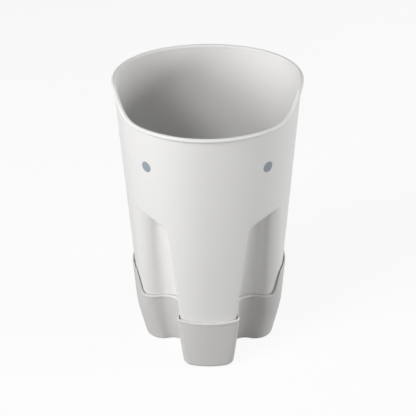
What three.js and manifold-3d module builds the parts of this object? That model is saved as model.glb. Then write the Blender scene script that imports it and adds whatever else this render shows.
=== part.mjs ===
// Bath toy organizer: a tall round bin in the form of an animal, with a trunk between two legs and a
// scooped mouth, which stands in a drip tray of the same outline and lifts out of it.
// Millimetres, +Z up. The animal faces -Y, and the origin is on the floor, on the axis of the bin.
import * as THREE from 'three';
import { mergeVertices } from 'three/addons/utils/BufferGeometryUtils.js';
import Module from 'manifold-3d';

// Bin wall: a cone that widens from the floor to the rim
const CONE_FLOOR_RADIUS = 85.7;
const CONE_RIM_RADIUS = 105.3;
const RIM_HEIGHT = 348.5;
const WALL = 2.5;
const BIN_EDGE_RADIUS = 5;

// Mouth: high at the sides, a little lower at the back, scooped out at the front
const SCOOP_DROP = 27;
const SCOOP_FRONT = 75;
const SCOOP_FOOT = 40;
const SCOOP_SHOULDER = 43;
const SCOOP_BACK = 8;
const BACK_DROP = 4.2;
const LIP_PROUD = 2.2;
const LIP_INNER_PROUD = 0.4;
const LIP_HEIGHT = 5;
const LIP_UNDERCUT = THREE.MathUtils.degToRad(60);

// Legs: the feet are drawn in, and the front of each leg is rounded
const FOOT_HEIGHT = 51.4;
const FOOT_TUCK = 7.8;
const LEG_CORNER_RADIUS = 19.5;

// Recess between trunk and legs: its back wall leans forward up to an arched top
const RECESS_BACK_FLOOR = 30;
const RECESS_BACK_TOP = 58;
const ARCH_HEIGHT = 209;
const ARCH_CROWN_X = 84;
const ARCH_RISE = 12.3;
const ARCH_FILLET = 3;
const VALLEY_SHARE = 0.6;
const VALLEY_DEPTH = 1.8;
const COVE_DEPTH = 5;

// Trunk: narrows downwards, with slightly rounded edges
const TRUNK_FLOOR_WIDTH = 53.4;
const TRUNK_TOP_WIDTH = 90.6;
const TRUNK_EDGE_RADIUS = 5;
const SHARP_EDGE_RADIUS = 0.5;

// Eyes: inlays that lie flush in the wall
const EYE_DIAMETER = 12.8;
const EYE_DEPTH = 1;
const EYE_HEIGHT = 273.9;
const EYE_AZIMUTH = THREE.MathUtils.degToRad(41);
const EYE_CLEARANCE = 0.2;

// Drain holes in the floor of the bin
const DRAIN_DIAMETER = 6;
const DRAIN_RINGS = [{ count: 1, radius: 0 }, { count: 6, radius: 21 }, { count: 12, radius: 42 }];
const TRUNK_DRAINS = [48, 66];
const DRAIN_MARGIN = 4;

// Drip tray: its edge slopes up from the front of the cup, then rises steeply round the legs to a
// high back
const TRAY_WALL = 2.2;
const TRAY_FLOOR = 3.5;
const TRAY_GAP = 0.7;
const CUP_EASE = 0.8;
const TRAY_EDGE_RADIUS = 7;
const CUP_HEIGHT = 73.6;
const RISE_HEIGHT = 77;
const SHOULDER_HEIGHT = 108;
const TRAY_BACK_HEIGHT = 109.3;
const RISE_FRONT = 43;
const RISE_FOOT = 32;
const RISE_SHOULDER = 51.5;
const RISE_BACK = 13;

// Ribs in the tray that hold the bin above the water
const DRIP_SPACE = 6.5;
const RIB_WIDTH = 3;
const RIB_SPACING = 36;
const RIB_BACK = 56;
const RIB_FRONT = 18;
const CENTRE_RIB_FRONT = 74;

// Non-slip pads in the underside of the tray
const PAD_DIAMETER = 18;
const PAD_HEIGHT = 2.5;
const PAD_PROUD = 1;
const PAD_FRONT = 68;
const PAD_SIDE = 58;
const PAD_REAR = 62;

// Gap that keeps touching pieces apart
const SEAT_GAP = 0.3;

// Fineness of the facets
const ROUND_STEPS = 96;
const CORNER_STEPS = 6;
const CURVE_STEPS = 6;
const EDGE_STEPS = 3;
const LIP_STEPS = 8;
const LEVEL_STEP = 34;
const HOLE_STEPS = 10;
const EYE_STEPS = 24;
const MERGE_DISTANCE = 1e-4;

// Heights and reaches that follow from the sizes above
const ARCH_SPRING = ARCH_HEIGHT - ARCH_RISE;
const SCOOP_HEIGHT = RIM_HEIGHT - SCOOP_DROP;
const TRAY_BOTTOM = PAD_PROUD;
const TRAY_FLOOR_TOP = TRAY_BOTTOM + TRAY_FLOOR;
const BIN_BOTTOM = TRAY_FLOOR_TOP + DRIP_SPACE;
const BIN_FLOOR_TOP = BIN_BOTTOM + WALL;
const OUTSIDE = 1.5 * CONE_RIM_RADIUS;
const OVERCUT = 4;
const TANGENT_STEP = 0.1;
const CONE_SLOPE = (CONE_RIM_RADIUS - CONE_FLOOR_RADIUS) / RIM_HEIGHT;

const { clamp, lerp } = THREE.MathUtils;

// Radius of the bin's wall at a height
function coneRadius(z) {
  return CONE_FLOOR_RADIUS + CONE_SLOPE * z;
}

// Radius of the drawn-in feet at a height: it meets the cone at FOOT_HEIGHT and runs on outside it
function footRadius(z) {
  return lerp(CONE_FLOOR_RADIUS - FOOT_TUCK, coneRadius(FOOT_HEIGHT), z / FOOT_HEIGHT);
}

// Radius of the legs at a height
function legRadius(z) {
  return Math.min(coneRadius(z), footRadius(z));
}

// Distance of the recess's back wall in front of the axis at a height
function recessBack(z) {
  return lerp(RECESS_BACK_FLOOR, RECESS_BACK_TOP, z / ARCH_HEIGHT);
}

// Half the width of the trunk's front at a height
function trunkHalfWidth(z) {
  return lerp(TRUNK_FLOOR_WIDTH, TRUNK_TOP_WIDTH, z / ARCH_SPRING) / 2;
}

// How far a rounded bottom edge draws a wall in at a height
function edgeInset(z, bottom, radius) {
  const below = clamp(bottom + radius - z, 0, radius);
  return radius - Math.sqrt(radius ** 2 - below ** 2);
}

// The four walls: where each starts, the rounding of its bottom edge, its offset outwards from the
// outer form of the bin, and how much wider it is at the trunk
function wall(offset, bottom, edgeRadius, ease) {
  return { bottom, edgeRadius, ease, grow: (z) => offset - edgeInset(z, bottom, edgeRadius) };
}

const BIN_OUTSIDE = wall(0, BIN_BOTTOM, BIN_EDGE_RADIUS, 0);
const BIN_INSIDE = wall(-WALL, BIN_FLOOR_TOP, BIN_EDGE_RADIUS - WALL, 0);
const TRAY_OUTSIDE = wall(TRAY_GAP + TRAY_WALL, TRAY_BOTTOM, TRAY_EDGE_RADIUS, CUP_EASE);
const TRAY_INSIDE = wall(TRAY_GAP, TRAY_FLOOR_TOP, TRAY_EDGE_RADIUS - TRAY_WALL, CUP_EASE);

const wasm = await Module();
wasm.setup();

// Closed three.js geometry to a solid that can be joined and cut
function solid(geometry) {
  const bare = geometry.clone();
  bare.deleteAttribute('normal');
  bare.deleteAttribute('uv');
  const merged = mergeVertices(bare, MERGE_DISTANCE);
  return new wasm.Manifold(new wasm.Mesh({
    numProp: 3,
    vertProperties: new Float32Array(merged.attributes.position.array),
    triVerts: new Uint32Array(merged.index.array),
  }));
}

// Solid back to three.js geometry
function geometryOf(body) {
  const { vertProperties, triVerts } = body.getMesh();
  const geometry = new THREE.BufferGeometry();
  geometry.setAttribute('position', new THREE.BufferAttribute(vertProperties, 3));
  geometry.setIndex(new THREE.BufferAttribute(triVerts, 1));
  geometry.computeVertexNormals();
  return geometry;
}

// Solid of revolution about Z from a profile of [radius, height] points
function revolve(profile) {
  const points = profile.map(([radius, z]) => new THREE.Vector2(radius, z));
  return solid(new THREE.LatheGeometry(points, ROUND_STEPS).rotateX(Math.PI / 2));
}

// Upright cylinder from a height upwards
function post(x, y, bottom, radius, height, steps) {
  const geometry = new THREE.CylinderGeometry(radius, radius, height, steps).rotateX(Math.PI / 2);
  return solid(geometry.translate(x, y, bottom + height / 2));
}

// Shape drawn in (x, z) and extruded along Y through everything
function prismAlongY(shape) {
  const geometry = new THREE.ExtrudeGeometry(shape, {
    depth: 2 * OUTSIDE, bevelEnabled: false, curveSegments: CURVE_STEPS,
  });
  return solid(geometry.translate(0, 0, -OUTSIDE).rotateX(Math.PI / 2));
}

// Shape drawn in (y, z) and extruded along X through everything
function prismAlongX(shape) {
  return prismAlongY(shape).rotate([0, 0, 90]);
}

// Triangles between rows of equal length, each row closed on itself
function rowTriangles(rows, count, closed) {
  const index = [];
  for (let row = 0; row < (closed ? rows : rows - 1); row += 1) {
    for (let i = 0; i < count; i += 1) {
      const next = (i + 1) % count;
      const above = ((row + 1) % rows) * count;
      index.push(row * count + i, row * count + next, above + next);
      index.push(row * count + i, above + next, above + i);
    }
  }
  return index;
}

function indexed(positions, index) {
  const geometry = new THREE.BufferGeometry();
  geometry.setAttribute('position', new THREE.Float32BufferAttribute(positions, 3));
  geometry.setIndex(index);
  return solid(geometry);
}

// Closed solid between outlines of equal length, one at each height, anticlockwise from above
function loft(outlines, heights) {
  const count = outlines[0].length;
  const top = (outlines.length - 1) * count;
  const positions = outlines.flatMap((outline, i) => outline.flatMap((p) => [p.x, p.y, heights[i]]));
  const index = rowTriangles(outlines.length, count, false);
  for (const [a, b, c] of THREE.ShapeUtils.triangulateShape(outlines[0], [])) {
    index.push(c, b, a);
  }
  for (const [a, b, c] of THREE.ShapeUtils.triangulateShape(outlines.at(-1), [])) {
    index.push(top + a, top + b, top + c);
  }
  return indexed(positions, index);
}

// Heights through a rounded bottom edge
function edgeLevels({ bottom, edgeRadius }) {
  return Array.from({ length: EDGE_STEPS + 1 }, (_, i) => (
    bottom + edgeRadius * (1 - Math.cos((i / EDGE_STEPS) * Math.PI / 2))
  ));
}

// Even heights after one height, up to another
function evenLevels(start, end) {
  const count = Math.ceil((end - start) / LEVEL_STEP);
  return Array.from({ length: count }, (_, i) => lerp(start, end, (i + 1) / count));
}

// Heights through a rounded bottom edge, then evenly to the top of the feet and on to the top
function levels(side, top) {
  const start = side.bottom + side.edgeRadius;
  return [...edgeLevels(side), ...evenLevels(start, FOOT_HEIGHT), ...evenLevels(FOOT_HEIGHT, top)];
}

// Back wall of one recess as [x, y] points from the trunk to the front of the leg: it sweeps back
// from the trunk in a cove, passes a shallow valley and swells out to the leg
function recessWall(trunkX, legX, back) {
  const valleyX = lerp(trunkX, legX, VALLEY_SHARE);
  const cove = Array.from({ length: CURVE_STEPS }, (_, i) => {
    const share = 1 - i / CURVE_STEPS;
    return [lerp(valleyX, trunkX, share), VALLEY_DEPTH - (VALLEY_DEPTH + COVE_DEPTH) * share ** 2];
  });
  const swell = Array.from({ length: CURVE_STEPS }, (_, i) => {
    const share = i / CURVE_STEPS;
    return [lerp(valleyX, legX, share), VALLEY_DEPTH * (1 + Math.cos(Math.PI * share)) / 2];
  });
  return [...cove, ...swell].map(([x, depth]) => new THREE.Vector2(x, depth - back));
}

// Points of a rounding that is tangent to a circle round the axis from within: from one angle round
// the rounding's centre to where it all but touches the circle, then straight out
function roundingTo(circleRadius, radius, centreX, centreY, start) {
  const tangent = Math.atan2(centreY, centreX);
  const short = Math.sqrt(2 * TANGENT_STEP / (radius * (1 - radius / circleRadius)));
  const stop = tangent + Math.sign(start - tangent) * Math.min(short, Math.abs(start - tangent) / 2);
  const points = Array.from({ length: CORNER_STEPS + 1 }, (_, i) => {
    const angle = lerp(start, stop, i / CORNER_STEPS);
    return new THREE.Vector2(centreX + radius * Math.cos(angle), centreY + radius * Math.sin(angle));
  });
  return [...points, points.at(-1).clone().setLength(2 * OUTSIDE)];
}

// Outline from its right half, which runs anticlockwise from the front, or clockwise from the back
function mirrored(right) {
  const left = right.map((p) => new THREE.Vector2(-p.x, p.y)).reverse();
  return [...right, ...left];
}

// Outline of the space in front of the legs: along the back wall, round the front of the leg to the
// wall's circle, then out and round the front
function recessOutline(z, side) {
  const grow = side.grow(z);
  const radius = legRadius(z) + grow;
  const corner = LEG_CORNER_RADIUS + grow;
  const back = recessBack(z) + grow;
  const centreY = corner - back;
  const centreX = Math.sqrt((radius - corner) ** 2 - centreY ** 2);
  return mirrored([
    ...recessWall(trunkHalfWidth(z) + grow + side.ease, centreX, back),
    ...roundingTo(radius, corner, centreX, centreY, -Math.PI / 2),
    new THREE.Vector2(2 * OUTSIDE, -2 * OUTSIDE),
  ]).reverse();
}

// Plan of the trunk: from well inside the body along its side and round its edge to the wall's
// circle, then out past the front
function trunkOutline(z, side) {
  const grow = side.grow(z);
  const radius = coneRadius(z) + grow;
  const half = trunkHalfWidth(z) + grow + side.ease;
  const edge = Math.max(TRUNK_EDGE_RADIUS + grow, SHARP_EDGE_RADIUS);
  const centreX = half - edge;
  const centreY = -Math.sqrt((radius - edge) ** 2 - centreX ** 2);
  return mirrored([
    new THREE.Vector2(half, LEG_CORNER_RADIUS / 2 - recessBack(z)),
    ...roundingTo(radius, edge, centreX, centreY, 0),
  ]).reverse();
}

// Everything below the arched tops of the recesses, which come down as the wall grows and end in a
// fillet at the trunk
function underArch(grow) {
  const half = TRUNK_TOP_WIDTH / 2 + grow;
  const filletX = half + ARCH_FILLET;
  const middle = (filletX + ARCH_CROWN_X) / 2;
  const top = ARCH_HEIGHT - grow;
  const spring = ARCH_SPRING - grow;
  const filletTop = top - ARCH_RISE * ((ARCH_CROWN_X - filletX) / (ARCH_CROWN_X - half)) ** 2;
  const filletBottom = spring - ARCH_FILLET;
  const trunkX = trunkHalfWidth(ARCH_SPRING - ARCH_FILLET) + grow;
  const shape = new THREE.Shape();
  shape.moveTo(-OUTSIDE, -OUTSIDE);
  shape.lineTo(OUTSIDE, -OUTSIDE);
  shape.lineTo(OUTSIDE, top);
  shape.lineTo(ARCH_CROWN_X, top);
  shape.quadraticCurveTo(middle, top, filletX, filletTop);
  shape.quadraticCurveTo(half, spring, trunkX, filletBottom);
  shape.lineTo(-trunkX, filletBottom);
  shape.quadraticCurveTo(-half, spring, -filletX, filletTop);
  shape.quadraticCurveTo(-middle, top, -ARCH_CROWN_X, top);
  shape.lineTo(-OUTSIDE, top);
  return prismAlongY(shape);
}

// The animal's form within one of its walls: the cone, less the space round the feet and in front of
// the legs, from which the trunk stands out
function form(side, top) {
  const { bottom, grow } = side;
  const edge = edgeLevels(side);
  const low = bottom - OVERCUT;
  const high = Math.min(top, ARCH_HEIGHT) + 2 * OVERCUT;
  const footTop = 2 * FOOT_HEIGHT;
  const cone = revolve([
    [0, bottom],
    ...[...edge, top].map((z) => [coneRadius(z) + grow(z), z]),
    [0, top],
  ]);
  const footLow = [footRadius(bottom) + grow(bottom), low];
  const feet = revolve([
    footLow,
    [OUTSIDE, low],
    [OUTSIDE, footTop],
    ...[...edge, footTop].reverse().map((z) => [footRadius(z) + grow(z), z]),
    footLow,
  ]);
  const steps = levels(side, high);
  const front = loft([bottom, ...steps].map((z) => recessOutline(z, side)), [low, ...steps]);
  const trunk = loft(
    [bottom, ...edge, high].map((z) => trunkOutline(z, side)),
    [low - OVERCUT, ...edge, high + OVERCUT],
  );
  const arched = front.intersect(underArch(grow(ARCH_SPRING)));
  return cone.subtract(feet.add(arched).subtract(trunk));
}

// Side view of the lip's top, drawn in (y, z) from front to back
function rimCurve() {
  const back = CONE_RIM_RADIUS + LIP_PROUD;
  const path = new THREE.CurvePath();
  const point = (y, z) => new THREE.Vector2(y, z);
  path.add(new THREE.LineCurve(point(-OUTSIDE, SCOOP_HEIGHT), point(-SCOOP_FRONT, SCOOP_HEIGHT)));
  path.add(new THREE.CubicBezierCurve(
    point(-SCOOP_FRONT, SCOOP_HEIGHT),
    point(-SCOOP_FOOT, SCOOP_HEIGHT),
    point(-SCOOP_SHOULDER, RIM_HEIGHT),
    point(-SCOOP_BACK, RIM_HEIGHT),
  ));
  path.add(new THREE.QuadraticBezierCurve(
    point(-SCOOP_BACK, RIM_HEIGHT),
    point((back - SCOOP_BACK) / 2, RIM_HEIGHT),
    point(back, RIM_HEIGHT - BACK_DROP),
  ));
  path.add(new THREE.LineCurve(
    point(back, RIM_HEIGHT - BACK_DROP),
    point(OUTSIDE, RIM_HEIGHT - BACK_DROP),
  ));
  return path;
}

const RIM_POINTS = rimCurve().getPoints(4 * CURVE_STEPS);

// Height of the lip's top over a place from front to back
function rimHeight(y) {
  const next = RIM_POINTS.findIndex((p) => p.x >= y);
  const [a, b] = [RIM_POINTS[next - 1], RIM_POINTS[next]];
  return lerp(a.y, b.y, (y - a.x) / (b.x - a.x));
}

// Everything above the mouth, lowered by a distance
function aboveRim(lowered) {
  const shape = new THREE.Shape(RIM_POINTS.map((p) => new THREE.Vector2(p.x, p.y - lowered)));
  shape.lineTo(OUTSIDE, 2 * RIM_HEIGHT);
  shape.lineTo(-OUTSIDE, 2 * RIM_HEIGHT);
  return prismAlongX(shape);
}

// Point of the lip's top on the outside of the wall, at an angle round the axis
function rimPoint(angle) {
  let z = RIM_HEIGHT;
  for (let i = 0; i < CURVE_STEPS; i += 1) {
    z = rimHeight(coneRadius(z) * Math.sin(angle));
  }
  return new THREE.Vector3(coneRadius(z) * Math.cos(angle), coneRadius(z) * Math.sin(angle), z);
}

// Section of the lip as [outwards, upwards] points: a round bead that turns back under to the wall
function lipSection() {
  const inner = -WALL - LIP_INNER_PROUD;
  const centre = (inner + LIP_PROUD) / 2;
  const radius = (LIP_PROUD - inner) / 2;
  const crown = Array.from({ length: LIP_STEPS + 1 }, (_, i) => {
    const angle = lerp(-LIP_UNDERCUT, Math.PI, i / LIP_STEPS);
    return [centre + radius * Math.cos(angle), radius * (Math.sin(angle) - 1)];
  });
  return [...crown, [-WALL / 2, -LIP_HEIGHT]];
}

// Rolled lip: its section is carried round the mouth, square to the edge
function lip() {
  const section = lipSection();
  const positions = [];
  for (let i = 0; i < ROUND_STEPS; i += 1) {
    const angle = (i / ROUND_STEPS) * 2 * Math.PI;
    const step = Math.PI / ROUND_STEPS;
    const along = rimPoint(angle + step).sub(rimPoint(angle - step)).normalize();
    const radial = new THREE.Vector3(Math.cos(angle), Math.sin(angle), 0);
    const up = radial.clone().cross(along).normalize();
    const out = along.clone().cross(up);
    const top = rimPoint(angle);
    for (const [outwards, upwards] of section) {
      const p = top.clone().addScaledVector(out, outwards).addScaledVector(up, upwards);
      positions.push(p.x, p.y, p.z);
    }
  }
  return indexed(positions, rowTriangles(ROUND_STEPS, section.length, true).reverse());
}

// Cylinder square to the wall at an eye: inwards to a depth and out past the wall
function eyePlug(side, radius, depth) {
  const length = depth + OVERCUT;
  const plug = new THREE.CylinderGeometry(radius, radius, length, EYE_STEPS);
  plug.translate(0, length / 2 - depth, 0);
  const place = new THREE.Object3D();
  const across = side * EYE_AZIMUTH;
  const facing = new THREE.Vector3(Math.sin(across), -Math.cos(across), -CONE_SLOPE).normalize();
  place.quaternion.setFromUnitVectors(new THREE.Vector3(0, 1, 0), facing);
  const radiusThere = coneRadius(EYE_HEIGHT);
  place.position.set(radiusThere * Math.sin(across), -radiusThere * Math.cos(across), EYE_HEIGHT);
  place.updateMatrix();
  return solid(plug.applyMatrix4(place.matrix));
}

// Centres of the drain holes: rings as far as they lie clear of the recesses, and a row in the trunk
function drainPlaces() {
  const clearFront = recessBack(BIN_BOTTOM) - WALL - COVE_DEPTH - DRAIN_MARGIN - DRAIN_DIAMETER / 2;
  const places = DRAIN_RINGS.flatMap(({ count, radius }) => Array.from({ length: count }, (_, i) => {
    const angle = ((i + 0.5) / count) * 2 * Math.PI;
    return new THREE.Vector2(radius * Math.sin(angle), radius * Math.cos(angle));
  }));
  const trunk = TRUNK_DRAINS.map((distance) => new THREE.Vector2(0, -distance));
  return [...places.filter((p) => p.y > -clearFront), ...trunk];
}

function makeBin() {
  const top = RIM_HEIGHT + OVERCUT;
  let body = form(BIN_OUTSIDE, top)
    .subtract(form(BIN_INSIDE, top + OVERCUT))
    .subtract(aboveRim(LIP_HEIGHT / 2))
    .add(lip());
  for (const side of [-1, 1]) {
    body = body.subtract(eyePlug(side, EYE_DIAMETER / 2 + EYE_CLEARANCE, EYE_DEPTH + SEAT_GAP));
  }
  for (const { x, y } of drainPlaces()) {
    body = body.subtract(
      post(x, y, BIN_BOTTOM - OVERCUT, DRAIN_DIAMETER / 2, WALL + 2 * OVERCUT, HOLE_STEPS),
    );
  }
  return body;
}

function makeEye(side) {
  const outer = revolve([[0, 0], [CONE_FLOOR_RADIUS, 0], [CONE_RIM_RADIUS, RIM_HEIGHT], [0, RIM_HEIGHT]]);
  return eyePlug(side, EYE_DIAMETER / 2, EYE_DEPTH).intersect(outer);
}

// Everything above the tray's edge
function aboveTray() {
  const cupFront = coneRadius(CUP_HEIGHT);
  const shape = new THREE.Shape();
  shape.moveTo(-OUTSIDE, CUP_HEIGHT);
  shape.lineTo(-cupFront, CUP_HEIGHT);
  shape.lineTo(-RISE_FRONT, RISE_HEIGHT);
  shape.bezierCurveTo(
    -RISE_FOOT, RISE_HEIGHT,
    -RISE_SHOULDER, SHOULDER_HEIGHT,
    -RISE_BACK, TRAY_BACK_HEIGHT,
  );
  shape.lineTo(OUTSIDE, TRAY_BACK_HEIGHT);
  shape.lineTo(OUTSIDE, 2 * TRAY_BACK_HEIGHT);
  shape.lineTo(-OUTSIDE, 2 * TRAY_BACK_HEIGHT);
  return prismAlongX(shape);
}

// Upright rib from front to back on the floor of the tray
function rib(x, front) {
  const height = DRIP_SPACE - SEAT_GAP + TRAY_FLOOR / 2;
  const length = front + RIB_BACK;
  const geometry = new THREE.BoxGeometry(RIB_WIDTH, length, height);
  const bottom = TRAY_FLOOR_TOP - TRAY_FLOOR / 2;
  return solid(geometry.translate(x, (RIB_BACK - front) / 2, bottom + height / 2));
}

const PADS = {
  foot_pad_front: [0, -PAD_FRONT],
  foot_pad_left: [-PAD_SIDE, 0],
  foot_pad_right: [PAD_SIDE, 0],
  foot_pad_rear: [0, PAD_REAR],
};

function makeTray() {
  const top = TRAY_BACK_HEIGHT + OVERCUT;
  let body = form(TRAY_OUTSIDE, top)
    .subtract(form(TRAY_INSIDE, top + OVERCUT))
    .subtract(aboveTray())
    .add(rib(0, CENTRE_RIB_FRONT))
    .add(rib(-RIB_SPACING, RIB_FRONT))
    .add(rib(RIB_SPACING, RIB_FRONT));
  const pocket = PAD_HEIGHT - PAD_PROUD + SEAT_GAP + OVERCUT;
  for (const [x, y] of Object.values(PADS)) {
    const radius = PAD_DIAMETER / 2 + SEAT_GAP;
    body = body.subtract(post(x, y, TRAY_BOTTOM - OVERCUT, radius, pocket, EYE_STEPS));
  }
  return body;
}

function makePad([x, y]) {
  return post(x, y, 0, PAD_DIAMETER / 2, PAD_HEIGHT, EYE_STEPS);
}

function piece(name, body, color, roughness) {
  const material = new THREE.MeshStandardMaterial({ color, roughness, metalness: 0 });
  const mesh = new THREE.Mesh(geometryOf(body), material);
  mesh.name = name;
  return mesh;
}

const WHITE_PLASTIC = 0xeceae8;
const GREY_PLASTIC = 0xb9b7b4;
const BLUE_GREY_PLASTIC = 0x8e99a3;
const GREY_RUBBER = 0x8b8987;

const tray = new THREE.Group();
tray.add(piece('drip_tray', makeTray(), GREY_PLASTIC, 0.5));
for (const [name, place] of Object.entries(PADS)) {
  tray.add(piece(name, makePad(place), GREY_RUBBER, 0.85));
}

const bin = new THREE.Group();
bin.add(piece('bin', makeBin(), WHITE_PLASTIC, 0.4));
bin.add(piece('eye_left', makeEye(-1), BLUE_GREY_PLASTIC, 0.45));
bin.add(piece('eye_right', makeEye(1), BLUE_GREY_PLASTIC, 0.45));

const organizer = new THREE.Group();
organizer.add(tray, bin);

export default organizer;
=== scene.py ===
"""Bath toy organizer: the looks of its bin, drip tray, eyes and non-slip pads.

Each piece is a surface worked out in whole numpy arrays, in millimetres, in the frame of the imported
model: +Z up, the animal faces -Y, and the origin is on the floor, on the axis of the bin.
"""
from collections import namedtuple

import bpy
import numpy as np
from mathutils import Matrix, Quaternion, Vector
from mathutils.geometry import delaunay_2d_cdt


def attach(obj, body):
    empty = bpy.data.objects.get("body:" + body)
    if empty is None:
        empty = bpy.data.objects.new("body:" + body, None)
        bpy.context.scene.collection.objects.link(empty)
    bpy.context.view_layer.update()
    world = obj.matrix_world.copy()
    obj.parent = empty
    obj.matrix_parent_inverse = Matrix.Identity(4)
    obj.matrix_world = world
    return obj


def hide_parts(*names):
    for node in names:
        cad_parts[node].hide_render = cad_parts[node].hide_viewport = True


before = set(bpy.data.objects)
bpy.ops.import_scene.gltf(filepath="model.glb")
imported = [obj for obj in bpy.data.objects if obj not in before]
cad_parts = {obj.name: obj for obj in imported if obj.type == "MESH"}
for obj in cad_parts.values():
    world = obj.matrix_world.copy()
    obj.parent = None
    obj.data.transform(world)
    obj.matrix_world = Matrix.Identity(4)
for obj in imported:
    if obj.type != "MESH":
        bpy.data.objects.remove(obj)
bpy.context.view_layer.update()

# Lengths are in millimetres from here to the finishes
MM = 0.001  # in metres
FAR = 200.0  # beyond the sides of the object
TINY = 0.001  # keeps a division clear of zero
BOTTOM_MARGIN = 0.5  # flat border of a floor, inside its rounded edge
SHARP_ANGLE = np.radians(32)

# Bin wall: a cone that widens from the floor to the rim
CONE_FLOOR_RADIUS = 85.7
CONE_RIM_RADIUS = 105.3
RIM_HEIGHT = 348.45
WALL = 2.5
BIN_EDGE_RADIUS = 5.0
BIN_BOTTOM = 11.0

# Mouth: the curve of its edge seen from the side, from the scoop in front up to the back
SCOOP_HEIGHT = 321.5
SCOOP_FRONT = 75.0
SCOOP_FOOT = 40.0
SCOOP_SHOULDER = 43.0
SCOOP_BACK = 8.0
BACK_HEIGHT = 344.3

# Rolled lip of the mouth
LIP_PROUD = 2.1
LIP_INNER_PROUD = 0.4
LIP_UNDERCUT = np.radians(78)
LIP_NOOK = 0.4
LIP_EASE = 3.0
LIP_REACH = 8.0
RIM_ROUNDS = 10
RIM_STEP = 0.02  # radians round the axis

# Legs
FOOT_HEIGHT = 51.4
FOOT_TUCK = 7.8
FOOT_BEND = 0.7
LEG_CORNER_RADIUS = 19.5

# Recess between trunk and legs, under its arched top
RECESS_BACK_FLOOR = 30.0
RECESS_BACK_TOP = 58.0
ARCH_HEIGHT = 209.0
ARCH_CROWN_X = 84.0
ARCH_RISE = 12.3
ARCH_FILLET = 2.0
ARCH_NOOK = 2.2
ARCH_EDGE = 1.8
ARCH_DRAFT = 0.3
ARCH_ROUNDED_SHARE = 0.4
VALLEY_SHARE = 0.6
VALLEY_DEPTH = 1.8
COVE_DEPTH = 5.0
NOOK_REACH = 5.0
NOOK_SHARE = 0.3

# Trunk
TRUNK_FLOOR_WIDTH = 53.4
TRUNK_TOP_WIDTH = 90.6
TRUNK_EDGE_HEIGHTS = (75.0, 110.0, 209.0)
TRUNK_EDGE_RADII = (5.5, 3.8, 2.3)
SHARP_EDGE_RADIUS = 0.5

# Eyes: inlays in round pockets
EYE_HEIGHT = 273.9
EYE_AZIMUTH = np.radians(41)
EYE_POCKET_RADIUS = 6.4
EYE_POCKET_DEPTH = 1.3
EYE_POCKET_EDGE = 0.25
EYE_POCKET_BEVEL = 0.07
EYE_MARGIN = 11.0
EYE_WALL_SLACK = 0.1
EYE_BACK = -1.0
EYE_DOME = 0.15
# Radius and distance out of the wall, from the back round the edge to the face
EYE_PROFILE = (
    (5.6, EYE_BACK), (6.1, EYE_BACK), (6.2, -0.9), (6.2, -0.12), (6.13, -0.02),
    (6.0, 0.04), (5.8, 0.06), (4.8, 0.09), (3.4, 0.12), (1.8, 0.14),
)

# Drain holes in the floor of the bin
DRAIN_RADIUS = 3.0
DRAIN_EDGE = 0.4
DRAIN_RINGS = ((1, 0.0), (6, 21.0), (12, 42.0))
DRAIN_FRONT = 17.0
TRUNK_DRAINS = ((0.0, -48.0), (0.0, -66.0))

# Drip tray
TRAY_WALL = 2.2
TRAY_GAP = 0.7
TRAY_BOTTOM = 1.0
TRAY_FLOOR_TOP = 4.5
LEG_BOTTOM_RADIUS = 3.6
LEG_BOTTOM_REACH = 4.0

# The tray's cup for the trunk; a fade is a share of a stretch of the outline
CUP_HEIGHT = 72.8
CUP_EASE = 0.8
CUP_SIDE_EASE = -0.4
CUP_EASE_FADE = 0.2
CUP_SNUG = 0.45
CUP_EDGE_HEIGHTS = (0.0, 22.0, 74.0)
CUP_OUTER_RADII = (11.0, 5.5, 3.4)
CUP_INNER_RADII = (8.0, 4.6, 3.2)
CUP_BOTTOM_RADIUS = 5.0
CUP_BOTTOM_REACH = 6.0

# Rise of the tray's edge from the recesses up to the back, seen from the side
RISE_HEIGHT = 77.0
SHOULDER_HEIGHT = 108.5
TRAY_BACK_HEIGHT = 109.3
RISE_FRONT = 41.4
RISE_FOOT = 35.5
RISE_SHOULDER = 42.1
RISE_BACK = 31.0

# Bead on the tray's edge, which is thinner and plain round the legs
TRAY_LIP_PROUD = 0.8
TRAY_LIP_DEPTH = 2.4
TRAY_LIP_HEIGHT = 2.9
TRAY_LIP_STEP = 0.7
TRAY_LIP_INSIDE = 0.5
TRAY_LIP_INSIDE_FALL = 1.5
TRAY_LIP_SIDE_FADE = 0.1
TRAY_LIP_NOOK_FADE = 0.3
TRAY_LIP_STEEPEST = 6  # square of the largest slope that counts
LEG_LIP_DEPTH = 1.0
LEG_LIP_INSIDE = 1.1

# Ribs on the tray's floor: their places across and their front ends
RIBS = ((0.0, -74.0), (-36.0, -18.0), (36.0, -18.0))
RIB_BACK = 56.0
RIB_WIDTH = 3.0
RIB_TOP = 10.7
RIB_SUNK = 1.0
RIB_ROUNDING = 0.8
RIB_END = 0.7

# Pads in the underside of the tray
PADS = {
    "foot_pad_front": (0.0, -68.0),
    "foot_pad_left": (-58.0, 0.0),
    "foot_pad_right": (58.0, 0.0),
    "foot_pad_rear": (0.0, 62.0),
}
PAD_POCKET_RADIUS = 9.3
PAD_POCKET_TOP = 2.8
PAD_POCKET_EDGE = 0.3
PAD_TOP = 2.5
# Radius and height, from the tread with its two rings round the edge to the top
PAD_PROFILE = (
    (3.0, 0.0), (3.2, 0.4), (4.0, 0.4), (4.2, 0.0), (6.0, 0.0), (6.2, 0.4), (7.0, 0.4),
    (7.2, 0.0), (8.5, 0.0), (8.85, 0.15), (9.0, 0.5), (9.0, 2.2), (8.7, PAD_TOP),
)

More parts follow.
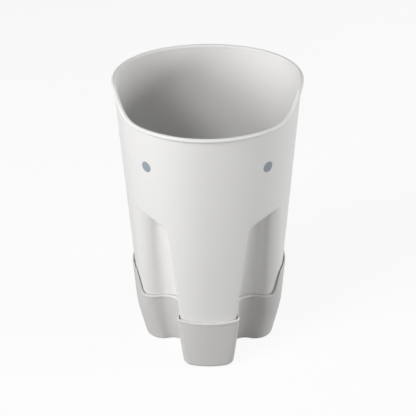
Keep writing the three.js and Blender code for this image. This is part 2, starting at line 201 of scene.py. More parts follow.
# Stretches of half an outline, from the middle of the front to that of the back, and their columns
FRONT, EDGE, SIDE, NOOK, COVE, SWELL, CORNER, LEG = STRETCHES = range(8)
STRETCH_COLUMNS = (16, 8, 14, 7, 12, 12, 18, 66)
STRETCH = np.repeat(STRETCHES, STRETCH_COLUMNS)
ALONG = np.concatenate([np.arange(n) / (n - (k == LEG)) for k, n in enumerate(STRETCH_COLUMNS)])
PLACE = STRETCH + ALONG
RECESS = slice(STRETCH_COLUMNS[FRONT], sum(STRETCH_COLUMNS[:LEG]) + 1)

# Rows and columns of the surfaces
EDGE_ROWS = 8
WALL_ROWS = 34
ARCH_ROWS = 7
CONE_ROWS = 46
LIP_ROWS = 9
TRAY_LIP_STEP_ROWS = 7
TRAY_LIP_ROWS = 16
TRAY_LIP_INSIDE_ROWS = 6
APRON_ROWS = 8
RIB_END_ROWS = 4
RIB_COLUMNS = 24
DRAIN_COLUMNS = 24
PAD_POCKET_COLUMNS = 48
PAD_COLUMNS = 64
EYE_COLUMNS = 64
CURVE_POINTS = 60
HALVINGS = 30

# How a wall goes round the trunk: its edges' radii at heights, and its ease beside the trunk
Trunk = namedtuple("Trunk", "heights radii ease")
CUP_EASES = np.interp(PLACE, (SIDE, SIDE + CUP_EASE_FADE), (CUP_EASE, CUP_SIDE_EASE))
BARE_TRUNK = Trunk(TRUNK_EDGE_HEIGHTS, TRUNK_EDGE_RADII, 0.0)
CUP_OUTSIDE = Trunk(CUP_EDGE_HEIGHTS, CUP_OUTER_RADII, CUP_EASES)
CUP_INSIDE = Trunk(CUP_EDGE_HEIGHTS, CUP_INNER_RADII, CUP_EASES)

# A wall: its offset from the bin's outside, the height of its bottom, and the height and reach of
# the rounded edge there
Wall = namedtuple("Wall", "offset bottom edge reach trunk")
BIN_INNER_EDGE = BIN_EDGE_RADIUS - WALL
TRAY_INNER_EDGE = CUP_BOTTOM_RADIUS - TRAY_WALL
TRAY_EDGE = np.interp(PLACE, (SIDE, COVE), (CUP_BOTTOM_RADIUS, LEG_BOTTOM_RADIUS))
TRAY_REACH = np.interp(PLACE, (SIDE, COVE), (CUP_BOTTOM_REACH, LEG_BOTTOM_REACH))
BIN_OUTSIDE = Wall(0.0, BIN_BOTTOM, BIN_EDGE_RADIUS, BIN_EDGE_RADIUS, BARE_TRUNK)
BIN_INSIDE = Wall(-WALL, BIN_BOTTOM + WALL, BIN_INNER_EDGE, BIN_INNER_EDGE, BARE_TRUNK)
TRAY_OUTSIDE = Wall(TRAY_GAP + TRAY_WALL, TRAY_BOTTOM, TRAY_EDGE, TRAY_REACH, CUP_OUTSIDE)
TRAY_INSIDE = Wall(TRAY_GAP, TRAY_FLOOR_TOP, TRAY_INNER_EDGE, TRAY_INNER_EDGE, CUP_INSIDE)


def lerp(a, b, t):
    """Straight mix: a where t is 0, b where it is 1."""
    return a + (b - a) * t


def ease(t):
    """S-curve from 0 to 1 that is level at both ends: three squares less two cubes."""
    return t ** 2 * (3 - 2 * t)


def steps(count):
    """Shares from 0 up to, but not including, 1 as a column."""
    return (np.arange(count) / count)[:, None]


def quarter(count):
    """Angles of a quarter turn as a column."""
    return np.linspace(0, np.pi / 2, count)[:, None]


def cone_radius(z):
    """Radius of the bin's plain wall, which grows evenly with the height."""
    return lerp(CONE_FLOOR_RADIUS, CONE_RIM_RADIUS, z / RIM_HEIGHT)


def leg_radius(z):
    """The cone, drawn in below FOOT_HEIGHT by a second, steeper cone with a soft bend between."""
    foot = lerp(CONE_FLOOR_RADIUS - FOOT_TUCK, cone_radius(FOOT_HEIGHT), z / FOOT_HEIGHT)
    inside = cone_radius(z) - foot
    return cone_radius(z) - (inside + np.sqrt(inside ** 2 + FOOT_BEND ** 2)) / 2


def bezier(points, count=CURVE_POINTS):
    """Points of a Bezier curve: neighbouring control points are mixed until one is left."""
    t = np.linspace(0, 1, count)[:, None]
    rows = [np.array(p, float)[None] for p in points]
    while len(rows) > 1:
        rows = [lerp(a, b, t) for a, b in zip(rows, rows[1:])]
    return rows[0]


# The edges of the mouth and of the tray seen from the side: height over y
LIP_BACK = CONE_RIM_RADIUS + LIP_PROUD
RIM = np.concatenate([
    [(-FAR, SCOOP_HEIGHT)],
    bezier([(-SCOOP_FRONT, SCOOP_HEIGHT), (-SCOOP_FOOT, SCOOP_HEIGHT),
            (-SCOOP_SHOULDER, RIM_HEIGHT), (-SCOOP_BACK, RIM_HEIGHT)]),
    bezier([(-SCOOP_BACK, RIM_HEIGHT), ((LIP_BACK - SCOOP_BACK) / 2, RIM_HEIGHT),
            (LIP_BACK, BACK_HEIGHT)])[1:],
])
TRAY_RIM = np.concatenate([
    [(-FAR, CUP_HEIGHT), (-cone_radius(CUP_HEIGHT), CUP_HEIGHT)],
    bezier([(-RISE_FRONT, RISE_HEIGHT), (-RISE_FOOT, RISE_HEIGHT),
            (-RISE_SHOULDER, SHOULDER_HEIGHT), (-RISE_BACK, TRAY_BACK_HEIGHT)]),
    [(FAR, TRAY_BACK_HEIGHT)],
])


def arch_height(x, y, grow):
    """Top of the recesses for a wall that is offset outwards by grow.

    A parabola runs from the trunk up to the crown, less a second one, lying on its side, that
    rounds its end into the trunk. Behind the axis the top is level.
    """
    half = TRUNK_TOP_WIDTH / 2 + grow
    across = np.abs(x) - half
    low = ARCH_RISE * (1 - np.clip(across / (ARCH_CROWN_X - half), 0, 1)) ** 2
    fillet = ARCH_FILLET * (1 - np.sqrt(np.clip(across / ARCH_FILLET, 0, 1))) ** 2
    return ARCH_HEIGHT - grow - np.where(y > 0, 0, low + fillet)


def pick(forms):
    """Each column's value from the form of its stretch."""
    return np.select([STRETCH == stretch for stretch in forms], list(forms.values()))


def half_outline(z, grow, trunk):
    """Right half of the outline at heights z for a wall that is offset outwards by grow.

    In order: the trunk's front on the cone's circle; its edge, an arc tangent to that circle; its
    side, straight back; a nook, the parabola tangent to the side and the cove; the cove, a parabola
    that ends level in the valley; the swell, half a cosine wave; the leg's corner, an arc tangent
    to the leg's circle; and that circle round to the middle of the back.
    """
    z, grow, t = np.broadcast_arrays(z, grow, ALONG)
    radius = cone_radius(z) + grow
    width = lerp(TRUNK_FLOOR_WIDTH, TRUNK_TOP_WIDTH, z / (ARCH_HEIGHT - ARCH_RISE))
    half = width / 2 + grow + trunk.ease
    edge = np.maximum(np.interp(z, trunk.heights, trunk.radii) + grow, SHARP_EDGE_RADIUS)
    edge_x = half - edge
    edge_y = -np.sqrt((radius - edge) ** 2 - edge_x ** 2)
    edge_angle = np.arctan2(edge_y, edge_x)
    back = lerp(RECESS_BACK_FLOOR, RECESS_BACK_TOP, z / ARCH_HEIGHT) + grow
    leg = leg_radius(z) + grow
    bend_radius = LEG_CORNER_RADIUS + grow
    corner_y = bend_radius - back
    corner_x = np.sqrt((leg - bend_radius) ** 2 - corner_y ** 2)
    corner_angle = np.arctan2(corner_y, corner_x)
    run = VALLEY_SHARE * (corner_x - half)
    fall = VALLEY_DEPTH + COVE_DEPTH
    valley_x, valley_y = half + run, VALLEY_DEPTH - back

    nook_x = valley_x - run * (1 - NOOK_SHARE)
    nook_y = valley_y - fall * (1 - NOOK_SHARE) ** 2
    meet_y = nook_y - 2 * fall * (1 - NOOK_SHARE) * NOOK_SHARE
    front = lerp(-np.pi / 2, edge_angle, t)
    turn = edge_angle * (1 - t)
    share = (1 - t) * (1 - NOOK_SHARE)
    bend = lerp(-np.pi / 2, corner_angle, t)
    round_back = lerp(corner_angle, np.pi / 2, t)
    side_end = meet_y - NOOK_REACH
    x = pick({
        FRONT: radius * np.cos(front),
        EDGE: edge_x + edge * np.cos(turn),
        SIDE: half,
        NOOK: lerp(half, nook_x, t ** 2),
        COVE: valley_x - run * share,
        SWELL: lerp(valley_x, corner_x, t),
        CORNER: corner_x + bend_radius * np.cos(bend),
        LEG: leg * np.cos(round_back),
    })
    y = pick({
        FRONT: radius * np.sin(front),
        EDGE: edge_y + edge * np.sin(turn),
        SIDE: lerp(edge_y, side_end, t),
        NOOK: (1 - t) ** 2 * side_end + 2 * t * (1 - t) * meet_y + t ** 2 * nook_y,
        COVE: valley_y - fall * share ** 2,
        SWELL: valley_y - VALLEY_DEPTH * (1 - np.cos(np.pi * t)) / 2,
        CORNER: corner_y + bend_radius * np.sin(bend),
        LEG: leg * np.sin(round_back),
    })
    return x, y


def outline_rows(z, grow, trunk):
    """Points of the right half of an outline at each height."""
    x, y = half_outline(z, grow, trunk)
    return np.stack([x, y, np.broadcast_to(z, x.shape)], -1)


def meeting_height(height, wall):
    """Height at which each column of a wall reaches a surface given as a height over x and y.

    It is found by halving the stretch of the wall in which the column passes the surface.
    """
    low = np.zeros((1, ALONG.size))
    high = np.full((1, ALONG.size), ARCH_HEIGHT + WALL)
    for _ in range(HALVINGS):
        middle = (low + high) / 2
        below = middle < height(*half_outline(middle, wall.offset, wall.trunk))
        low, high = np.where(below, middle, low), np.where(below, high, middle)
    return low


def rounded_bottom(wall):
    """A flat margin, then a quarter ellipse from the floor into the wall."""
    a = quarter(EDGE_ROWS)
    z = wall.bottom + wall.edge * (1 - np.cos(a))
    grow = wall.offset - wall.reach * (1 - np.sin(a))
    z, grow = np.vstack([z[:1], z]), np.vstack([grow[:1] - BOTTOM_MARGIN, grow])
    return outline_rows(z, grow, wall.trunk)


def upright_rows(wall, top):
    """Rows of a wall: its floor's rounded edge, then straight up by even steps towards top."""
    z = lerp(wall.bottom + wall.edge, top, steps(WALL_ROWS)[1:])
    return np.concatenate([rounded_bottom(wall), outline_rows(z, wall.offset, wall.trunk)])


def cone_point(angle, z, offset):
    """Point of the cone's wall at an angle round the axis and a height."""
    radius = cone_radius(z) + offset
    return np.stack([radius * np.cos(angle), radius * np.sin(angle), z], -1)


def cone_angles(points):
    """Angle round the axis and height of points."""
    return np.arctan2(points[..., 1], points[..., 0]), points[..., 2]


def recess_to_cone(wall):
    """Rows from a recess's back wall over its arched top to the cone, and the angles there.

    Each column runs from its place on the recess's outline to one on the cone's circle, spread in
    step with the outline's length. Seen across, that is a quarter ellipse, a nearly level stretch
    and a second quarter ellipse, and the arch's height at each place is added.
    """
    def arch(x, y):
        """Top of the recesses for this wall."""
        return arch_height(x, y, wall.offset)

    top = meeting_height(arch, wall)
    x, y = half_outline(top, wall.offset, wall.trunk)
    angle = np.arctan2(y, x)
    length = np.cumsum(np.hypot(np.diff(x[:, RECESS]), np.diff(y[:, RECESS])), axis=1)
    share = np.hstack([[[0]], length / length[:, -1:]])
    angle[:, RECESS] = lerp(angle[:, RECESS][:, :1], angle[:, RECESS][:, -1:], share)
    cone = cone_point(angle, top, wall.offset)
    reach = np.maximum(np.hypot(cone[..., 0] - x, cone[..., 1] - y), TINY)
    nook = np.minimum(ARCH_NOOK / reach, ARCH_ROUNDED_SHARE)
    edge = np.minimum(ARCH_EDGE / reach, ARCH_ROUNDED_SHARE)

    a = quarter(ARCH_ROWS)
    s = steps(ARCH_ROWS)[1:]
    across = np.vstack([
        nook * (1 - np.cos(a)), lerp(nook, 1 - edge, s ** 2), 1 - edge * (1 - np.sin(a)),
    ])
    rise = np.vstack([
        ARCH_NOOK * (np.sin(a) - 1), ARCH_DRAFT * s, ARCH_DRAFT + ARCH_EDGE * (1 - np.cos(a)),
    ])
    z = top + rise
    points = lerp(outline_rows(z, wall.offset, wall.trunk),
                  cone_point(np.broadcast_to(angle, z.shape), z, wall.offset), across[..., None])
    points[..., 2] = arch(points[..., 0], points[..., 1]) + rise
    return points, angle


def rim_frames(angle):
    """Top of the lip on the cone's wall at angles round the axis, with its outward and upward way.

    The upward way is square to the edge and to the radius, and the outward way to the edge and to
    the upward way.
    """
    def rim(angle):
        """Points of the lip's top; its height and place on the cone settle in a few rounds."""
        z = np.full_like(angle, RIM_HEIGHT)
        for _ in range(RIM_ROUNDS):
            z = np.interp(cone_radius(z) * np.sin(angle), RIM[:, 0], RIM[:, 1])
        return cone_point(angle, z, 0)

    along = rim(angle + RIM_STEP) - rim(angle - RIM_STEP)
    radial = np.stack([np.cos(angle), np.sin(angle), np.zeros_like(angle)], -1)
    up = np.cross(radial, along)
    up /= np.linalg.norm(up, axis=-1, keepdims=True)
    out = np.cross(along, up)
    return rim(angle), out / np.linalg.norm(out, axis=-1, keepdims=True), up


def lip_rows(angle):
    """The rolled lip: out of the wall in a small hollow, round a bead, and back to the wall inside.

    The hollow is a parabola tangent to the wall and the bead, the bead an arc of a circle, and its
    inside runs out in an S-curve. The profile is given by its distance out of the wall and its
    depth below the lip's top, which is measured down the wall, square to the edge of the mouth.
    The second result is the lip's foot, as angles round the axis and heights.
    """
    inner = -WALL - LIP_INNER_PROUD
    centre, radius = (LIP_PROUD + inner) / 2, (LIP_PROUD - inner) / 2
    a = np.linspace(-LIP_UNDERCUT, np.pi, 3 * LIP_ROWS)[:, None]
    bead = np.hstack([centre + radius * np.cos(a), radius * (1 - np.sin(a))])
    meet = bead[0, 1] + bead[0, 0] / np.tan(LIP_UNDERCUT)
    hollow = bezier([(0.0, meet + LIP_NOOK), (0.0, meet), bead[0]], LIP_ROWS)[:-1]
    s = steps(LIP_ROWS)[1:]
    inside = np.hstack([lerp(inner, -WALL, ease(s)), radius + LIP_EASE * s])
    profile = np.vstack([hollow, bead, inside])
    proud, depth = profile[:, :1, None], profile[:, 1:, None]
    top, out, up = rim_frames(angle)
    below = top - up * depth
    wall = cone_point(*cone_angles(below), 0)
    return wall + out * proud, cone_angles(top - up * LIP_REACH)


def bin_face(wall, lip_foot):
    """Rows of one face of the bin, from its floor up to the foot of the lip.

    Above the arches, angles and heights go by even steps to those of the lip's foot.
    """
    arched, angle = recess_to_cone(wall)
    foot_angle, foot_height = lip_foot
    s = steps(CONE_ROWS)[1:]
    z = lerp(arched[-1:, :, 2], foot_height, s)
    cone = cone_point(lerp(angle, foot_angle, s), z, wall.offset)
    return np.concatenate([upright_rows(wall, arched[:1, :, 2]), arched, cone])


def tray_rim_height(x, y):
    """Height of the tray's edge, which is the same all across the tray."""
    return np.interp(y, TRAY_RIM[:, 0], TRAY_RIM[:, 1])


def tray_lip():
    """Rows over the tray's edge.

    They go a small step out of the wall, then over a quarter ellipse, a level top and a small
    quarter ellipse inside, which stands closer to the trunk at the front of the cup. Round the legs
    the edge is thinner; there and along the trunk's sides it has no step. The depths are stretched
    by the slope of the edge, which keeps the rounding even on its rise.
    """
    top = meeting_height(tray_rim_height, TRAY_OUTSIDE)
    x, y = half_outline(top, TRAY_OUTSIDE.offset, CUP_OUTSIDE)
    run = np.maximum(np.hypot(np.gradient(x, axis=1), np.gradient(y, axis=1)), TINY)
    slope = np.gradient(top, axis=1) / run
    stretch = np.sqrt(1 + np.minimum(slope ** 2, TRAY_LIP_STEEPEST))
    snug = CUP_SNUG * np.where(STRETCH == FRONT, 1 - ALONG ** 2, 0)
    leg = np.where(STRETCH == CORNER, ease(ALONG), STRETCH > CORNER)
    side = np.interp(PLACE, (SIDE - TRAY_LIP_SIDE_FADE, SIDE + TRAY_LIP_SIDE_FADE,
                             NOOK - TRAY_LIP_SIDE_FADE, NOOK + TRAY_LIP_NOOK_FADE), (0, 1, 1, 0))
    proud = TRAY_LIP_PROUD * (1 - np.maximum(leg, side))
    depth = lerp(TRAY_LIP_DEPTH, LEG_LIP_DEPTH, leg)
    inside = lerp(TRAY_LIP_INSIDE, LEG_LIP_INSIDE, leg)
    a, a_inside = quarter(TRAY_LIP_ROWS), quarter(TRAY_LIP_INSIDE_ROWS)
    s = steps(TRAY_LIP_STEP_ROWS)
    outer = TRAY_OUTSIDE.offset + np.vstack([proud * ease(s), proud - depth * (1 - np.cos(a))])
    outer_depth = np.vstack([
        TRAY_LIP_HEIGHT + TRAY_LIP_STEP * (1 - s), TRAY_LIP_HEIGHT * (1 - np.sin(a)),
    ])
    inner = TRAY_INSIDE.offset + inside * np.cos(a_inside) - snug
    inner_depth = TRAY_LIP_INSIDE_FALL * inside * (1 - np.cos(a_inside))
    return np.concatenate([
        outline_rows(top - outer_depth * stretch, outer, CUP_OUTSIDE),
        outline_rows(top - inner_depth * stretch, inner, CUP_INSIDE),
    ])


def ring(half):
    """Whole rows from their right halves."""
    return np.concatenate([half, half[:, -2:0:-1] * (-1, 1, 1)], axis=1)


class Shell:
    """Points and faces of one closed piece, in millimetres."""

    def __init__(self):
        self.points = np.empty((0, 3))
        self.faces = []

    def add(self, points):
        """Adds points and gives their numbers, in the same layout."""
        first = len(self.points)
        self.points = np.concatenate([self.points, points.reshape(-1, 3)])
        return first + np.arange(points[..., 0].size).reshape(points.shape[:-1])

    def grid(self, numbers, keep=None):
        """Four-sided faces between rows that close on themselves, except where keep is False."""
        right = np.roll(numbers, -1, axis=1)
        quads = np.stack([numbers[:-1], right[:-1], right[1:], numbers[1:]], -1)
        self.faces += quads.reshape(-1, 4).tolist() if keep is None else quads[keep].tolist()

    def disc(self, loop, centre):
        """Faces from a loop to its centre."""
        middle = np.full(loop.shape, self.add(np.array(centre, float)))
        self.faces += np.stack([loop, np.roll(loop, -1), middle], -1).tolist()

    def plate(self, outline, holes, facing):
        """Flat plate between an outline and the loops of its holes, facing up (1) or down (-1).

        It is cut into triangles, and those nearer to a round hole's middle than its loop are left
        out.
        """
        loops = [outline, *holes]
        numbers = np.concatenate(loops)
        ends = np.concatenate([np.roll(loop, -1) for loop in loops])
        place = {n: k for k, n in enumerate(numbers.tolist())}
        edges = [(place[a], place[b]) for a, b in zip(numbers.tolist(), ends.tolist())]
        flat = [Vector(p) for p in self.points[numbers, :2].tolist()]
        inside_only, weld = 1, 1e-5
        _, _, faces, origin, _, _ = delaunay_2d_cdt(flat, edges, [], inside_only, weld)
        triangles = numbers[np.array([[origin[v][0] for v in f] for f in faces])]
        corners = self.points[triangles][..., :2]
        middles = corners.mean(1)
        in_hole = np.zeros(len(triangles), bool)
        for hole in holes:
            loop = self.points[hole, :2]
            reach = np.linalg.norm(loop - loop.mean(0), axis=1).min()
            in_hole |= np.linalg.norm(middles - loop.mean(0), axis=1) < reach
        a, b = corners[:, 1] - corners[:, 0], corners[:, 2] - corners[:, 0]
        turned = (a[:, 0] * b[:, 1] - a[:, 1] * b[:, 0]) * facing < 0
        triangles[turned] = triangles[turned][:, ::-1]
        self.faces += triangles[~in_hole].tolist()

    def piece(self, name, finish, slot, body, node):
        """The finished piece: it takes a material, stands for its CAD node and rides on a body."""
        mesh = bpy.data.meshes.new(name)
        mesh.from_pydata((self.points * MM).tolist(), [], self.faces)
        mesh.polygons.foreach_set("use_smooth", np.ones(len(mesh.polygons), bool))
        mesh.set_sharp_from_angle(angle=SHARP_ANGLE)
        mesh.materials.append(finish)
        piece = bpy.data.objects.new(name, mesh)
        bpy.context.scene.collection.objects.link(piece)
        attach(piece, body)
        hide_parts(node)


def whole_turn(count):
    """Angles of a whole turn, without its end."""
    return np.arange(count) / count * 2 * np.pi


def lathe(profile, place, columns):
    """Profile of (radius, height) turned round an upright axis at a place (x, y)."""
    radius, z = np.array(profile).T[..., None]
    a = whole_turn(columns)
    x, y = place[0] + radius * np.cos(a), place[1] + radius * np.sin(a)
    return np.stack(np.broadcast_arrays(x, y, z), -1)


def drain_places():
    """Rings of holes as far as they lie behind the recesses, and a row in the trunk."""
    places = list(TRUNK_DRAINS)
    for count, radius in DRAIN_RINGS:
        a = whole_turn(count) + np.pi / count
        ring_places = zip(radius * np.sin(a), radius * np.cos(a))
        places += [(x, y) for x, y in ring_places if y > -DRAIN_FRONT]
    return places


def eye_disc(side, points):
    """Points given round an eye's middle as (across, up, out of the wall), laid on the cone."""
    middle = -np.pi / 2 + side * EYE_AZIMUTH
    angle = middle + points[..., 0] / cone_radius(EYE_HEIGHT)
    return cone_point(angle, EYE_HEIGHT + points[..., 1], points[..., 2])


def round_eye(side, points):
    """Points of the wall as (across, up) round an eye's middle, the other way about."""
    angle, z = cone_angles(points)
    across = (angle + np.pi / 2 - side * EYE_AZIMUTH) * cone_radius(EYE_HEIGHT)
    return np.stack([across, z - EYE_HEIGHT], -1)


def eye_pocket(shell, numbers, side):
    """Sets a round pocket into the wall's grid and gives the mask of faces that make room for it.

    The border of the window that is left out is mixed towards a circle in steps, which goes over a
    rounded edge down the pocket's wall to its floor.
    """
    grid = shell.points[numbers]
    window = (np.abs(round_eye(side, grid)) < EYE_MARGIN).all(-1)
    window &= np.hypot(grid[..., 0], grid[..., 1]) >= cone_radius(grid[..., 2]) - EYE_WALL_SLACK
    rows, columns = (np.flatnonzero(window.any(axis)) for axis in (1, 0))
    i0, i1, j0, j1 = rows[0], rows[-1], columns[0], columns[-1]
    border = np.concatenate([
        numbers[i0, j0:j1], numbers[i0:i1, j1], numbers[i1, j1:j0:-1], numbers[i1:i0:-1, j0],
    ])
    flat = round_eye(side, shell.points[border])
    way = flat / np.linalg.norm(flat, axis=-1, keepdims=True)
    share = np.linspace(0, 1, APRON_ROWS)[1:, None, None]
    apron = lerp(flat, way * (EYE_POCKET_RADIUS + EYE_POCKET_EDGE), share)
    apron = np.concatenate([apron, np.zeros_like(apron[..., :1])], -1)
    drop = np.array([
        (EYE_POCKET_BEVEL, -EYE_POCKET_BEVEL), (0.0, -EYE_POCKET_EDGE), (0.0, -EYE_POCKET_DEPTH),
    ])[:, None]
    well = np.concatenate([way * (EYE_POCKET_RADIUS + drop[..., :1]),
                           np.broadcast_to(drop[..., 1:], (len(drop), len(border), 1))], -1)
    patch = shell.add(eye_disc(side, np.concatenate([apron, well])))
    shell.grid(np.vstack([border, patch]))
    shell.disc(patch[-1], eye_disc(side, np.array([0.0, 0.0, -EYE_POCKET_DEPTH])))
    keep = np.ones((len(numbers) - 1, numbers.shape[1]), bool)
    keep[i0:i1, j0:j1] = False
    return keep


def make_bin(finish):
    """One surface from the underside over the lip to the floor inside, with pockets and drains."""
    shell = Shell()
    _, angle = recess_to_cone(BIN_OUTSIDE)
    lip, foot = lip_rows(angle)
    half = np.concatenate([bin_face(BIN_OUTSIDE, foot), lip, bin_face(BIN_INSIDE, foot)[::-1]])
    numbers = shell.add(ring(half))
    shell.grid(numbers, eye_pocket(shell, numbers, -1) & eye_pocket(shell, numbers, 1))
    lower, upper = [], []
    floor_top = BIN_BOTTOM + WALL
    drain = [
        (DRAIN_RADIUS + DRAIN_EDGE, floor_top), (DRAIN_RADIUS, floor_top - DRAIN_EDGE),
        (DRAIN_RADIUS, BIN_BOTTOM + DRAIN_EDGE), (DRAIN_RADIUS + DRAIN_EDGE, BIN_BOTTOM),
    ]
    for place in drain_places():
        hole = shell.add(lathe(drain, place, DRAIN_COLUMNS))
        shell.grid(hole)
        upper.append(hole[0])
        lower.append(hole[-1])
    shell.plate(numbers[0], lower, -1)
    shell.plate(numbers[-1], upper, 1)
    shell.piece("toy_bin", finish, "white_plastic", "bin", "bin")


def rib_bar(x, front):
    """Bar with a rounded section, drawn in at both ends by a quarter round.

    The section is a circle whose quarters are moved apart to the corners of a rectangle, while the
    points on its axes stay in the middle of the sides.
    """
    half = np.array([RIB_WIDTH, RIB_TOP - TRAY_FLOOR_TOP + RIB_SUNK]) / 2
    end = quarter(RIB_END_ROWS)
    taper, from_end = RIB_END * (1 - np.sin(end)), RIB_ROUNDING * (1 - np.cos(end))
    inset = np.vstack([taper, taper[::-1]])
    y = np.vstack([front + from_end, RIB_BACK - from_end[::-1]])
    a = whole_turn(RIB_COLUMNS)
    way = np.stack([np.cos(a), np.sin(a)], -1)
    core = np.sign(np.round(way, 6)) * (half - RIB_ROUNDING)
    section = core + way * (RIB_ROUNDING - inset[..., None])
    return np.stack([x + section[..., 0], np.broadcast_to(y, section.shape[:2]),
                     RIB_TOP - half[1] + section[..., 1]], -1)[:, ::-1]


def make_tray(finish):
    """One surface from the underside over the edge to the floor inside, and the ribs on it."""
    shell = Shell()
    lip = tray_lip()
    outside = upright_rows(TRAY_OUTSIDE, lip[:1, :, 2])
    inside = upright_rows(TRAY_INSIDE, lip[-1:, :, 2])
    numbers = shell.add(ring(np.concatenate([outside, lip, inside[::-1]])))
    shell.grid(numbers)
    pockets = []
    well = [
        (PAD_POCKET_RADIUS, PAD_POCKET_TOP), (PAD_POCKET_RADIUS, TRAY_BOTTOM + PAD_POCKET_EDGE),
        (PAD_POCKET_RADIUS + PAD_POCKET_EDGE, TRAY_BOTTOM),
    ]
    for place in PADS.values():
        pocket = shell.add(lathe(well, place, PAD_POCKET_COLUMNS))
        shell.grid(pocket)
        shell.disc(pocket[0][::-1], (*place, PAD_POCKET_TOP))
        pockets.append(pocket[-1])
    shell.plate(numbers[0], pockets, -1)
    shell.plate(numbers[-1], [], 1)
    for x, front in RIBS:
        bar = shell.add(rib_bar(x, front))
        shell.grid(bar)
        shell.disc(bar[0][::-1], shell.points[bar[0]].mean(0))
        shell.disc(bar[-1], shell.points[bar[-1]].mean(0))
    shell.piece("tray", finish, "grey_plastic", "tray", "drip_tray")


def make_eye(name, side, finish):
    """Inlay turned from its profile and bent round the wall, with a domed face and a flat back."""
    shell = Shell()
    numbers = shell.add(eye_disc(side, lathe(EYE_PROFILE, (0.0, 0.0), EYE_COLUMNS)))
    shell.grid(numbers)
    shell.disc(numbers[-1], eye_disc(side, np.array([0.0, 0.0, EYE_DOME])))
    shell.disc(numbers[0][::-1], eye_disc(side, np.array([0.0, 0.0, EYE_BACK])))
    shell.piece(name + "_inlay", finish, "blue_grey_plastic", "bin", name)


def make_pad(name, place, finish):
    """Pad turned from its profile, with a softened edge and two shallow rings in its tread."""
    shell = Shell()
    loops = shell.add(lathe(PAD_PROFILE, place, PAD_COLUMNS))
    shell.grid(loops)
    shell.disc(loops[0][::-1], (*place, 0.0))
    shell.disc(loops[-1], (*place, PAD_TOP))
    shell.piece(name + "_rubber", finish, "grey_rubber", "tray", name)


class Value:
    """An output of a material's nodes; + - * on it add Math nodes."""

    def __init__(self, finish, socket):
        self.finish = finish
        self.socket = socket

    def math(self, operation, first, second):
        """Adds a Math node on two values."""
        return self.finish.node("ShaderNodeMath", {"operation": operation}, {0: first, 1: second})

    def __add__(self, other):
        return self.math("ADD", self, other)

    def __radd__(self, other):
        return self.math("ADD", other, self)

    def __sub__(self, other):
        return self.math("SUBTRACT", self, other)

    def __rsub__(self, other):
        return self.math("SUBTRACT", other, self)

    def __mul__(self, other):
        return self.math("MULTIPLY", self, other)

    def __rmul__(self, other):
        return self.math("MULTIPLY", other, self)


class Finish:
    """A material, or the world, whose nodes are added one by one."""

    def __init__(self, owner):
        self.owner = owner
        owner.use_nodes = True
        self.tree = owner.node_tree
        self.tree.nodes.clear()

    def node(self, kind, settings, inputs, output=0):
        """Adds a node of a kind: its settings are set first, then its sockets' values or links."""
        node = self.tree.nodes.new(kind)
        for name, value in settings.items():
            setattr(node, name, value)
        for name, value in inputs.items():
            if isinstance(value, Value):
                self.tree.links.new(value.socket, node.inputs[name])
            else:
                node.inputs[name].default_value = value
        return Value(self, node.outputs[output]) if node.outputs else None

    def noise(self, size, detail=2.0, roughness=0.5):
        """Noise on the piece's own place, with features of a size in millimetres."""
        place = self.node("ShaderNodeTexCoord", {}, {}, "Object")
        return self.node("ShaderNodeTexNoise", {}, {
            "Vector": place, "Scale": 1 / (size * MM), "Detail": detail, "Roughness": roughness,
        })

    def mix(self, share, first, second):
        """Colour between two colours."""
        return self.node("ShaderNodeMix", {"data_type": "RGBA"}, {0: share, 6: first, 7: second}, 2)

    def bump(self, height, depth, normal=None):
        """Relief of a depth in millimetres, over another relief if there is one."""
        below = {"Normal": normal} if normal else {}
        return self.node("ShaderNodeBump", {}, {
            "Strength": 1.0, "Distance": depth * MM, "Height": height, **below,
        })

    def surface(self, shader):
        """Gives the material its shader."""
        self.node("ShaderNodeOutputMaterial", {}, {"Surface": shader})
        return self.owner


def moulded_plastic(name, colour, tint, roughness, grain, relief):
    """Moulded plastic: fine spark-eroded grain, slow waves in the wall, and a faint cloudy tint.

    The tint follows slow clouds more than fine speckle, and the roughness smudges more than grain.
    """
    finish = Finish(bpy.data.materials.new(name))
    clouds = finish.noise(size=55.0, detail=3.0)
    smudges = finish.noise(size=9.0, detail=4.0, roughness=0.6)
    fine = finish.noise(size=grain, roughness=0.6)
    waves = finish.noise(size=38.0, detail=1.0)
    speckle = finish.noise(size=1.6, detail=3.0, roughness=0.7)
    return finish.surface(finish.node("ShaderNodeBsdfPrincipled", {}, {
        "Base Color": finish.mix(clouds * 0.6 + speckle * 0.4, colour, tint),
        "Roughness": roughness + (smudges - 0.5) * 0.16 + (fine - 0.5) * 0.08,
        "Normal": finish.bump(fine, relief, finish.bump(waves, depth=0.25)),
        "IOR": 1.47,
        "Specular IOR Level": 0.3,
    }))


def rubber(name, colour, tint):
    """Matte rubber with a pebbled skin and a dusty bloom."""
    finish = Finish(bpy.data.materials.new(name))
    pebbles = finish.noise(size=0.7, detail=3.0, roughness=0.6)
    bloom = finish.noise(size=6.0, detail=4.0, roughness=0.65)
    return finish.surface(finish.node("ShaderNodeBsdfPrincipled", {}, {
        "Base Color": finish.mix(bloom, colour, tint),
        "Roughness": 0.72 + bloom * 0.2,
        "Normal": finish.bump(pebbles, depth=0.08),
    }))


def seen_directly(finish):
    """1 for rays from the camera, and for reflections and transmission, else 0."""
    camera, glossy, through = (finish.node("ShaderNodeLightPath", {}, {}, f"Is {ray} Ray")
                               for ray in ("Camera", "Glossy", "Transmission"))
    either = camera + glossy + through
    return either.math("MINIMUM", either, 1.0)


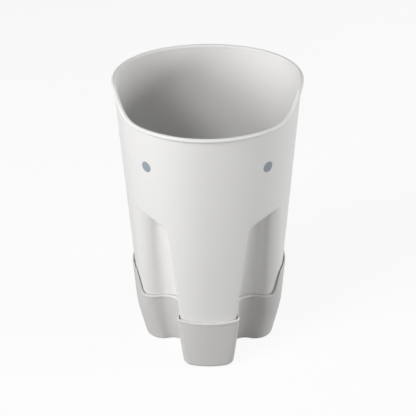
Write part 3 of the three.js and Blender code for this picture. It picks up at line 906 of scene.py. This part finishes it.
def make_floor(tone, bounce, whiteness, reach):
    """Wide pale floor that shows as white and keeps a soft shadow of the object.

    Seen directly, it is paper of a tone, mixed with plain white by whiteness. For the light that it
    throws back, its tone is bounce.
    """
    finish = Finish(bpy.data.materials.new("studio_floor"))
    seen = seen_directly(finish)
    colour = finish.mix(seen, (bounce, bounce, bounce, 1), (tone, tone, tone, 1))
    paper = finish.node("ShaderNodeBsdfDiffuse", {}, {"Color": colour})
    white = finish.node("ShaderNodeEmission", {}, {"Color": (1, 1, 1, 1), "Strength": 1.0})
    both = finish.node("ShaderNodeMixShader", {}, {0: seen * whiteness, 1: paper, 2: white})
    finish.surface(both)
    mesh = bpy.data.meshes.new("studio_floor")
    corners = [(-reach, -reach, 0), (reach, -reach, 0), (reach, reach, 0), (-reach, reach, 0)]
    mesh.from_pydata(corners, [], [(0, 1, 2, 3)])
    mesh.materials.append(finish.owner)
    floor = bpy.data.objects.new("studio_floor", mesh)
    bpy.context.scene.collection.objects.link(floor)


def make_world(level):
    """Even surrounding light, seen directly as white."""
    world = bpy.data.worlds.new("studio")
    bpy.context.scene.world = world
    finish = Finish(world)
    around = finish.node("ShaderNodeBackground", {}, {"Color": (1, 1, 1, 1), "Strength": level})
    white = finish.node("ShaderNodeBackground", {}, {"Color": (1, 1, 1, 1), "Strength": 1.0})
    both = finish.node("ShaderNodeMixShader", {}, {0: seen_directly(finish), 1: around, 2: white})
    finish.node("ShaderNodeOutputWorld", {}, {"Surface": both})


def away(azimuth, elevation):
    """Direction from the object at angles in degrees: 0, 0 is its front and 90, 0 its right."""
    a, e = np.radians([azimuth, elevation])
    return Vector((np.sin(a) * np.cos(e), -np.cos(a) * np.cos(e), np.sin(e)))


def softbox(name, azimuth, elevation, size, power):
    """Square area light on a sphere round the middle of the object, which it faces.

    Angles are in degrees, lengths in metres.
    """
    middle, distance = Vector((0, 0, 0.2)), 1.9
    back = away(azimuth, elevation)
    light = bpy.data.lights.new(name, "AREA")
    light.size = size
    light.energy = power
    lamp = bpy.data.objects.new(name, light)
    lamp.location = middle + back * distance
    lamp.rotation_euler = (-back).to_track_quat("-Z", "Y").to_euler()
    bpy.context.scene.collection.objects.link(lamp)


def make_camera(azimuth, elevation, distance, aim, lens, roll):
    """Camera on a sphere round the point it looks at; angles in degrees, lengths in metres."""
    back = away(azimuth, elevation)
    data = bpy.data.cameras.new("photo_view")
    data.lens = lens
    data.sensor_width = 36.0
    camera = bpy.data.objects.new("photo_view", data)
    camera.location = Vector(aim) + back * distance
    turn = (-back).to_track_quat("-Z", "Y") @ Quaternion((0, 0, 1), np.radians(roll))
    camera.rotation_euler = turn.to_euler()
    bpy.context.scene.collection.objects.link(camera)
    bpy.context.scene.camera = camera


white_plastic = moulded_plastic(
    "white_plastic", colour=(0.80, 0.795, 0.785, 1), tint=(0.84, 0.833, 0.82, 1),
    roughness=0.55, grain=0.55, relief=0.012)
grey_plastic = moulded_plastic(
    "grey_plastic", colour=(0.637, 0.628, 0.612, 1), tint=(0.678, 0.669, 0.653, 1),
    roughness=0.6, grain=0.6, relief=0.018)
blue_grey_plastic = moulded_plastic(
    "blue_grey_plastic", colour=(0.29, 0.335, 0.38, 1), tint=(0.33, 0.375, 0.415, 1),
    roughness=0.45, grain=0.5, relief=0.01)
grey_rubber = rubber("grey_rubber", colour=(0.22, 0.215, 0.21, 1), tint=(0.3, 0.295, 0.29, 1))

make_bin(white_plastic)
make_tray(grey_plastic)
make_eye("eye_left", -1, blue_grey_plastic)
make_eye("eye_right", 1, blue_grey_plastic)
for pad, place in PADS.items():
    make_pad(pad, place, grey_rubber)

make_floor(tone=0.9, bounce=0.22, whiteness=0.91, reach=4.0)
make_world(level=0.03)
softbox("high_left", azimuth=-50, elevation=45, size=0.6, power=14.8)
softbox("low_left", azimuth=-48, elevation=12, size=0.9, power=19.0)
softbox("fill_right", azimuth=84, elevation=11, size=0.7, power=21.5)
softbox("front", azimuth=-4, elevation=12, size=0.9, power=5.0)
softbox("behind_right", azimuth=150, elevation=25, size=0.9, power=3.0)
softbox("overhead", azimuth=0, elevation=84, size=0.9, power=2.5)
make_camera(azimuth=1.0, elevation=31.0, distance=1.17, aim=(-0.0007, 0, 0.176), lens=83.9,
            roll=-0.49)
bpy.context.scene.view_settings.view_transform = "Standard"
